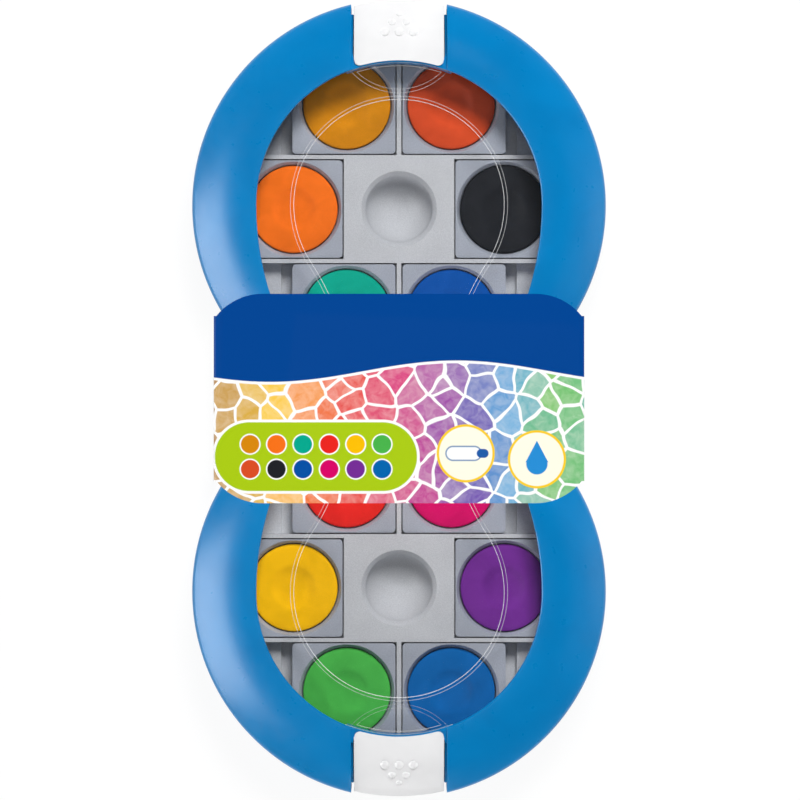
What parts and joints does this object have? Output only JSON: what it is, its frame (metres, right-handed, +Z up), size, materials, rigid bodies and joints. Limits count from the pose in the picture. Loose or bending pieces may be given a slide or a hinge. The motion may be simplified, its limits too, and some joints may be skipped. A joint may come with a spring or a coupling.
{
  "type": "paint box",
  "caption": "Waisted figure-eight paint box: lift-off windowed lid, end latches, square cups of dry paint, mixing wells, tube of white and a card band.",
  "frame": {"origin": "middle of the footprint, on the table", "axes": "+Z up out of the box; +Y along the box towards its north latch, the top of the picture; +X to the right of the picture"},
  "size_m": [0.1404, 0.2698, 0.0324],
  "materials": {
    "case_blue": "satin moulded polypropylene",
    "insert_grey": "satin moulded polystyrene",
    "cup_grey": "satin moulded polystyrene",
    "clear_window": "clear moulded polystyrene, polished",
    "latch_white": "satin white",
    "tube_white": "satin white laminate",
    "tube_cap_white": "satin white",
    "printed_card": "printed, satin varnish",
    "paint_ochre": "pressed dry gouache, chalky with a burnished middle",
    "paint_brick_red": "pressed dry gouache, chalky with a burnished middle",
    "paint_orange": "pressed dry gouache, chalky with a burnished middle",
    "paint_black": "pressed dry gouache, chalky with a burnished middle",
    "paint_emerald": "pressed dry gouache, chalky with a burnished middle",
    "paint_ultramarine": "pressed dry gouache, chalky with a burnished middle",
    "paint_scarlet": "pressed dry gouache, chalky with a burnished middle",
    "paint_magenta": "pressed dry gouache, chalky with a burnished middle",
    "paint_yellow": "pressed dry gouache, chalky with a burnished middle",
    "paint_violet": "pressed dry gouache, chalky with a burnished middle",
    "paint_leaf_green": "pressed dry gouache, chalky with a burnished middle",
    "paint_sky_blue": "pressed dry gouache, chalky with a burnished middle"
  },
  "bodies": {
    "base": {"base_tray": "case_blue", "paint_insert": "insert_grey", "tube_body": "tube_white", "card_band_back": "printed_card", "cup_ochre": "cup_grey", "cup_brick_red": "cup_grey", "cup_orange": "cup_grey", "cup_black": "cup_grey", "cup_emerald": "cup_grey", "cup_ultramarine": "cup_grey", "cup_scarlet": "cup_grey", "cup_magenta": "cup_grey", "cup_yellow": "cup_grey", "cup_violet": "cup_grey", "cup_leaf_green": "cup_grey", "cup_sky_blue": "cup_grey", "cake_ochre": "paint_ochre", "cake_brick_red": "paint_brick_red", "cake_orange": "paint_orange", "cake_black": "paint_black", "cake_emerald": "paint_emerald", "cake_ultramarine": "paint_ultramarine", "cake_scarlet": "paint_scarlet", "cake_magenta": "paint_magenta", "cake_yellow": "paint_yellow", "cake_violet": "paint_violet", "cake_leaf_green": "paint_leaf_green", "cake_sky_blue": "paint_sky_blue"},
    "lid": {"lid_frame": "case_blue", "lid_window": "clear_window", "card_band_front": "printed_card"},
    "north_latch": {"north_latch": "latch_white"},
    "south_latch": {"south_latch": "latch_white"},
    "cap": {"tube_cap": "tube_cap_white"}
  },
  "joints": [
    {"name": "lid_lift", "type": "slide", "parent": "base", "child": "lid", "axis": [0, 0, 1], "range_m": [0, 0.06]},
    {"name": "north_latch_turn", "type": "hinge", "parent": "base", "child": "north_latch", "pos_m": [0, 0.13044, 0.00524], "axis": [-1, 0, 0], "range_deg": [0, 90]},
    {"name": "south_latch_turn", "type": "hinge", "parent": "base", "child": "south_latch", "pos_m": [0, -0.13044, 0.00524], "axis": [1, 0, 0], "range_deg": [0, 90]},
    {"name": "tube_cap_turn", "type": "hinge", "parent": "base", "child": "cap", "pos_m": [0.03, 0, 0.01275], "axis": [1, 0, 0], "continuous": true}
  ]
}
